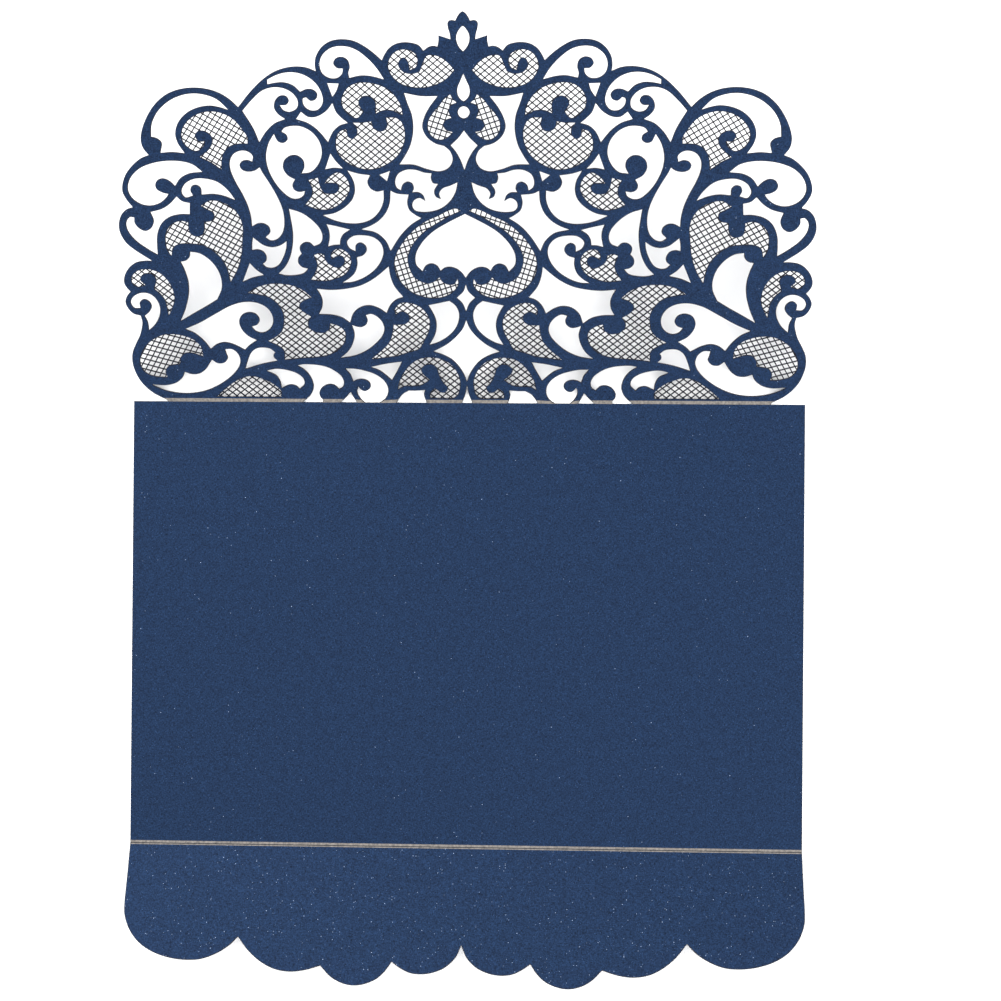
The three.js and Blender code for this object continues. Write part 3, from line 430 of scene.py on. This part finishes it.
def curve_between(before, start, end, after, steps):
    """Places from start towards end on the centripetal curve through four points, end left out."""
    pairs = ((before, start), (start, end), (end, after))
    first, middle, last = [max((b - a).length, SAME_PLACE) ** 0.5 for a, b in pairs]
    leaving = (start - before) / first - (end - before) / (first + middle) + (end - start) / middle
    arriving = (end - start) / middle - (after - start) / (middle + last) + (after - end) / last
    leaving *= middle
    arriving *= middle
    places = []
    for step in range(steps):
        t = step / steps
        places.append(
            start * (2 * t**3 - 3 * t**2 + 1)
            + leaving * (t**3 - 2 * t**2 + t)
            + end * (3 * t**2 - 2 * t**3)
            + arriving * (t**3 - t**2)
        )
    return places


def smooth_loop(points):
    """The closed line through an outline's points, smooth between its corners."""
    places = [p for p, _ in points]
    corners = [corner for _, corner in points]
    count = len(points)
    line = []
    for i in range(count):
        start, end = places[i], places[(i + 1) % count]
        from_corner, to_corner = corners[i], corners[(i + 1) % count]
        if from_corner and to_corner:
            line.append(start)
            continue
        before = start * 2 - end if from_corner else places[i - 1]
        after = end * 2 - start if to_corner else places[(i + 2) % count]
        line += curve_between(before, start, end, after, STEPS_PER_POINT)
    return line


def anticlockwise(line):
    area = sum(a.x * b.y - b.x * a.y for a, b in zip(line, line[1:] + line[:1]))
    return line if area > 0 else line[::-1]


def both_sides(text):
    half = read_outline(text)
    return [smooth_loop(half), smooth_loop(mirrored(half))]


def crossings(line, origin, along):
    """How far along a straight thread it crosses a closed line, in order."""
    across = Vector((-along.y, along.x))
    found = []
    for a, b in zip(line, line[1:] + line[:1]):
        side_a, side_b = (a - origin).dot(across), (b - origin).dot(across)
        if (side_a > 0) != (side_b > 0):
            place = a.lerp(b, side_a / (side_a - side_b))
            found.append((place - origin).dot(along))
    return sorted(found)


def threads_across(line, direction):
    """The two ends of each thread in one direction inside a lattice's rim, rooted a little in the sheet."""
    along = Vector((math.cos(direction), math.sin(direction)))
    across = Vector((-along.y, along.x))
    offsets = [p.dot(across) for p in line]
    first = math.ceil(min(offsets) / THREAD_PITCH)
    last = math.floor(max(offsets) / THREAD_PITCH)
    ends = []
    for number in range(first, last + 1):
        origin = across * number * THREAD_PITCH
        stops = crossings(line, origin, along)
        for start, stop in zip(stops[::2], stops[1::2]):
            if stop - start > SHORTEST_THREAD:
                root, tip = start - THREAD_ROOT, stop + THREAD_ROOT
                ends.append((origin + along * root, origin + along * tip))
    return ends


def material_at(up):
    """The material of the visible face at a distance up the flat layout from the panel's middle."""
    if CREASE < up < CREASE + LACE_SCORE_WIDTH:
        return SCORE
    if abs(up + CREASE) < SCORE_LINE_HALF_WIDTH:
        return SCORE_LINE
    if -CREASE - SCALLOP_SCORE_ON_FLAP < up < -CREASE + SCALLOP_SCORE_ON_PANEL:
        return SCORE
    return CARD


def folded(place):
    """A place of the flat layout once the flaps are raised about their creases."""
    x, y, height = place
    fold = LACE_FOLD if y > 0 else SCALLOP_FOLD
    past = abs(y) - CREASE
    if past < 0:
        out, up = abs(y), height
    elif past < SAME_PLACE:
        out, up = CREASE - height * math.tan(fold / 2), height
    else:
        out = CREASE + past * math.cos(fold) - height * math.sin(fold)
        up = past * math.sin(fold) + height * math.cos(fold)
    return Vector((x, math.copysign(out, y), up))


class Sheet:
    """The card as a flat layout with its panel centred, whose places are folded when the mesh is made."""

    def __init__(self):
        self.places = []
        self.faces = []
        self.materials = []

    def add_face(self, corners, material):
        self.faces.append(corners)
        self.materials.append(material)

    def add_sheet(self, solid_lines, opening_lines):
        """Meshes the sheet between its outlines: both faces, and the cut edge all round."""
        flat, triangles = triangulated(solid_lines, opening_lines)
        open_edges = set()
        for triangle in triangles:
            middle = sum((flat[i].y for i in triangle)) / 3
            self.add_face([2 * i + 1 for i in triangle], material_at(middle))
            self.add_face([2 * i for i in reversed(triangle)], CARD)
            for a, b in zip(triangle, triangle[1:] + triangle[:1]):
                if (b, a) in open_edges:
                    open_edges.remove((b, a))
                else:
                    open_edges.add((a, b))
        self.add_cut_edge(flat, sorted(open_edges))

    def add_cut_edge(self, flat, edges):
        """Walls between the two faces, tapered because the laser's cut is wider at the visible one."""
        inward = [Vector((0, 0)) for _ in flat]
        for a, b in edges:
            self.add_face([2 * a, 2 * b, 2 * b + 1, 2 * a + 1], CUT_EDGE)
            along = (flat[b] - flat[a]).normalized()
            for end in (a, b):
                inward[end] += Vector((-along.y, along.x))
        for p, turn in zip(flat, inward):
            top = p + turn.normalized() * EDGE_TAPER
            self.places += [(p.x, p.y, 0.0), (top.x, top.y, SHEET_THICKNESS)]

    def add_thread(self, start, end, lift):
        """One thread: a closed bar from start to end, a little thinner than the sheet."""
        along = (end - start).normalized()
        across = Vector((-along.y, along.x)) * (THREAD_WIDTH / 2)
        low = THREAD_UNDERSIDE + lift
        high = SHEET_THICKNESS - THREAD_LOWER_BY - lift
        first = len(self.places)
        for height in (low, high):
            for corner in (start - across, end - across, end + across, start + across):
                self.places.append((corner.x, corner.y, height))
        for face in ((3, 2, 1, 0), (4, 5, 6, 7), (0, 1, 5, 4), (1, 2, 6, 5), (2, 3, 7, 6), (3, 0, 4, 7)):
            self.add_face([first + corner for corner in face], THREAD)

    def make(self, name, materials, panel_middle):
        """The piece: its folded mesh, with the scored lines sunk into the visible face."""
        used = sorted({corner for face in self.faces for corner in face})
        renumbered = {corner: number for number, corner in enumerate(used)}
        verts = []
        for corner in used:
            x, y, height = self.places[corner]
            if height == SHEET_THICKNESS and any(abs(y - groove) < SAME_PLACE for groove in GROOVES):
                height -= SCORE_DEPTH
            verts.append(folded((x, y, height)) * METRES + panel_middle)
        faces = [[renumbered[corner] for corner in face] for face in self.faces]
        mesh = bpy.data.meshes.new(name)
        mesh.from_pydata(verts, [], faces)
        for material in materials:
            mesh.materials.append(material)
        mesh.polygons.foreach_set("material_index", self.materials)
        mesh.update()
        return linked(name, mesh)


def triangulated(solid_lines, opening_lines):
    """The places and triangles of a sheet with openings, with edges along the scored lines."""
    points = []
    loops = []
    for line in solid_lines + opening_lines:
        loops.append(list(range(len(points), len(points) + len(line))))
        points += anticlockwise(line)
    edges = []
    for up in SCORE_EDGES:
        edges.append((len(points), len(points) + 1))
        points += [Vector((-PANEL_WIDTH, up)), Vector((PANEL_WIDTH, up))]
    flat, _, triangles, _, _, came_from = delaunay_2d_cdt(points, edges, loops, WHOLE_HULL, MESH_TOLERANCE)
    solid_count = len(solid_lines)
    kept = [
        triangle
        for triangle, sources in zip(triangles, came_from)
        if sources and min(sources) < solid_count and max(sources) < solid_count
    ]
    return flat, kept


def linked(name, data):
    """A new object of the scene that holds the data."""
    obj = bpy.data.objects.new(name, data)
    bpy.context.collection.objects.link(obj)
    return obj


def linear(red, green, blue):
    """A colour given as in an image file, 0 to 255, as Blender's linear light."""
    channels = []
    for value in (red, green, blue):
        share = value / 255
        channels.append(share / 12.92 if share <= 0.04045 else ((share + 0.055) / 1.055) ** 2.4)
    return (*channels, 1.0)


class Surface:
    """A procedural material: small helpers that add and join nodes."""

    def __init__(self, name, roughness, metallic, specular):
        self.material = bpy.data.materials.new(name)
        self.material.use_nodes = True
        self.tree = self.material.node_tree
        self.shader = self.tree.nodes["Principled BSDF"]
        self.shader.inputs["Roughness"].default_value = roughness
        self.shader.inputs["Metallic"].default_value = metallic
        self.shader.inputs["Specular IOR Level"].default_value = specular
        self.place = self.node("ShaderNodeTexCoord").outputs["Object"]

    def node(self, kind, **settings):
        made = self.tree.nodes.new(kind)
        for key, value in settings.items():
            setattr(made, key, value)
        return made

    def join(self, source, target):
        self.tree.links.new(source, target)

    def noise(self, scale, stretch=(1, 1, 1), detail=2.0):
        mapping = self.node("ShaderNodeMapping")
        mapping.inputs["Scale"].default_value = stretch
        self.join(self.place, mapping.inputs["Vector"])
        texture = self.node("ShaderNodeTexNoise")
        texture.inputs["Scale"].default_value = scale
        texture.inputs["Detail"].default_value = detail
        self.join(mapping.outputs["Vector"], texture.inputs["Vector"])
        return texture.outputs["Fac"]

    def ramp(self, source, band, low_colour, high_colour):
        made = self.node("ShaderNodeValToRGB")
        for stop, position, colour in zip(made.color_ramp.elements, band, (low_colour, high_colour)):
            stop.position = position
            stop.color = colour
        self.join(source, made.inputs["Fac"])
        return made.outputs["Color"]

    def math(self, operation, first, second):
        made = self.node("ShaderNodeMath", operation=operation)
        for socket, value in zip(made.inputs, (first, second)):
            if isinstance(value, (int, float)):
                socket.default_value = value
            else:
                self.join(value, socket)
        return made.outputs["Value"]

    def mix(self, factor, first, second, blend="MIX"):
        made = self.node("ShaderNodeMix", data_type="RGBA", blend_type=blend)
        if isinstance(factor, (int, float)):
            made.inputs["Factor"].default_value = factor
        else:
            self.join(factor, made.inputs["Factor"])
        for name, value in (("A", first), ("B", second)):
            socket = next(s for s in made.inputs if s.name == name and s.type == "RGBA")
            if isinstance(value, tuple):
                socket.default_value = value
            else:
                self.join(value, socket)
        return next(s for s in made.outputs if s.type == "RGBA")

    def leaning_up(self):
        """How far the surface leans towards the lace's side, from 0 where it is flat or leans away."""
        axes = self.node("ShaderNodeSeparateXYZ")
        self.join(self.node("ShaderNodeNewGeometry").outputs["Normal"], axes.inputs["Vector"])
        return self.math("MAXIMUM", axes.outputs["Y"], 0)

    def flecks(self, cells_per_metre, bare_share, rarity):
        """Where flecks lie: in a few random cells, near the cell's middle, each of its own strength."""
        cells = self.node("ShaderNodeTexVoronoi")
        cells.inputs["Scale"].default_value = cells_per_metre
        self.join(self.place, cells.inputs["Vector"])
        chosen = self.node("ShaderNodeSeparateColor")
        self.join(cells.outputs["Color"], chosen.inputs["Color"])
        rare = self.math("GREATER_THAN", chosen.outputs["Red"], self.math("ADD", rarity, bare_share))
        near = self.math("LESS_THAN", cells.outputs["Distance"], FLECK_RADIUS)
        return self.math("MULTIPLY", rare, self.math("MULTIPLY", near, chosen.outputs["Green"]))

    def bump(self, height, strength):
        made = self.node("ShaderNodeBump")
        made.inputs["Distance"].default_value = RELIEF_DEPTH
        made.inputs["Strength"].default_value = strength
        self.join(height, made.inputs["Height"])
        self.join(made.outputs["Normal"], self.shader.inputs["Normal"])

    def colour(self, source):
        self.join(source, self.shader.inputs["Base Color"])
        return self.material


def pearl_card():
    """Navy card with a pearl finish: fine fibres both ways, soft mottling and sparse bright flecks that are
    partly painted glints, with more of them on the flap that leans up at the front.
    """
    surface = Surface("pearl_navy_card", PEARL_ROUGHNESS, PEARL_METALLIC, PEARL_SPECULAR)
    mottle = surface.noise(MOTTLE_SCALE, detail=3)
    fibre_across = surface.noise(FIBRE_SCALE, FIBRE_ACROSS)
    fibre_along = surface.noise(FIBRE_SCALE, FIBRE_ALONG)
    weave = surface.math("ADD", fibre_across, fibre_along)
    base = surface.ramp(mottle, TONE_BAND, linear(*NAVY_DARK), linear(*NAVY_LIGHT))
    shade = surface.ramp(surface.math("MULTIPLY", weave, 0.5), FIBRE_BAND, FIBRE_DARK, FIBRE_LIGHT)
    base = surface.mix(1.0, base, shade, "MULTIPLY")
    patches = surface.math("MULTIPLY", surface.noise(FLECK_PATCH_SCALE), FLECK_PATCHINESS)
    # Painted glint: more bright flecks where the surface leans towards the lace's side
    painted_glint_lean = surface.math("MULTIPLY", surface.leaning_up(), PAINTED_GLINT_LEAN_GAIN)
    rarity = surface.math("SUBTRACT", patches, painted_glint_lean)
    for cells_per_metre, bare_share, glint in FLECKS:
        base = surface.mix(surface.flecks(cells_per_metre, bare_share, rarity), base, linear(*glint))
    surface.bump(surface.math("ADD", weave, mottle), PEARL_RELIEF)
    return surface.colour(base)


def plain_stock(name, dark, light, scale, roughness):
    """Card whose finish is gone, as where the laser or the scoring tool has been."""
    surface = Surface(name, roughness, metallic=0.0, specular=PLAIN_SPECULAR)
    grain = surface.noise(scale, detail=4)
    surface.bump(grain, PLAIN_RELIEF)
    return surface.colour(surface.ramp(grain, TONE_BAND, linear(*dark), linear(*light)))


def dressed_card():
    """The whole card as one piece, in place of its solid."""
    up_to_lace = Vector((0, CREASE))
    lace_rim = smooth_loop(with_mirror_image(read_outline(LACE_RIM)))
    scallop_rim = smooth_loop(with_mirror_image(read_outline(SCALLOP_RIM)))
    half_width = PANEL_WIDTH / 2
    corners = ((-half_width, -CREASE), (half_width, -CREASE), (half_width, CREASE), (-half_width, CREASE))
    openings = [smooth_loop(with_mirror_image(read_outline(text))) for text in AXIS_OPENINGS]
    for text in OPENINGS:
        openings += both_sides(text)
    lattices = []
    for lattice in LATTICES:
        right, left = both_sides(lattice["rim"])
        directions = [math.radians(d) for d in lattice["directions"]]
        lattices += [(right, directions), (left, [-direction for direction in directions])]

    sheet = Sheet()
    sheet.add_sheet(
        [
            [p + up_to_lace for p in lace_rim],
            [Vector(corner) for corner in corners],
            [Vector((p.x, -CREASE - p.y)) for p in scallop_rim],
        ],
        [[p + up_to_lace for p in line] for line in openings + [rim for rim, _ in lattices]],
    )
    for rim, directions in lattices:
        for number, direction in enumerate(directions):
            for start, end in threads_across(rim, direction):
                sheet.add_thread(start + up_to_lace, end + up_to_lace, number * THREAD_LOWER_BY)
    materials = [pearl_card()] + [plain_stock(*stock) for stock in PLAIN_STOCKS]
    return sheet.make("invitation_card_sheet", materials, panel_middle)


def white_ground():
    """The paper ground the card lies on."""
    corners = ((-1, -1), (1, -1), (1, 1), (-1, 1))
    verts = [(x * GROUND_REACH, y * GROUND_REACH, -GROUND_GAP) for x, y in corners]
    mesh = bpy.data.meshes.new("white_ground")
    mesh.from_pydata(verts, [], [(0, 1, 2, 3)])
    surface = Surface("white_ground", GROUND_ROUGHNESS, metallic=0.0, specular=GROUND_SPECULAR)
    grain = surface.noise(GROUND_MOTTLE_SCALE)
    whites = surface.ramp(grain, TONE_BAND, linear(*GROUND_DARK), linear(*GROUND_LIGHT))
    mesh.materials.append(surface.colour(whites))
    ground = linked("white_ground", mesh)


def add_camera():
    """The camera of the photograph: almost straight above, a little right of the axis."""
    data = bpy.data.cameras.new("camera")
    data.sensor_width = SENSOR_WIDTH
    data.lens = FOCAL_PIXELS * SENSOR_WIDTH / PICTURE_PIXELS
    turn = Matrix.Identity(3)
    for angle, axis in zip(CAMERA_TURN, "XYZ"):
        turn = turn @ Matrix.Rotation(angle, 3, axis)
    camera = linked("camera", data)
    camera.matrix_world = Matrix.Translation(panel_middle + CAMERA_FROM_PANEL) @ turn.transposed().to_4x4()
    bpy.context.scene.camera = camera


def add_lamp(name, place, size, power):
    """A soft round lamp that faces the card."""
    data = bpy.data.lights.new(name, "AREA")
    data.shape = "DISK"
    data.size = size
    data.energy = power
    lamp = linked(name, data)
    lamp.location = place
    lamp.rotation_euler = (-Vector(place)).to_track_quat("-Z", "Y").to_euler()


def white_studio():
    world = bpy.data.worlds.new("studio")
    world.use_nodes = True
    background = world.node_tree.nodes["Background"]
    background.inputs["Color"].default_value = STUDIO_WHITE
    background.inputs["Strength"].default_value = STUDIO_STRENGTH
    bpy.context.scene.world = world


lace_reach = CREASE + LACE_HEIGHT * math.cos(LACE_FOLD)
panel_middle = Vector((0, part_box("invitation_card")[1].y - lace_reach * METRES, 0))
card = dressed_card()
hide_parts("invitation_card")
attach(card, "root")

white_ground()
add_camera()
for lamp in LAMPS:
    add_lamp(*lamp)
white_studio()
bpy.context.scene.view_settings.view_transform = "Standard"
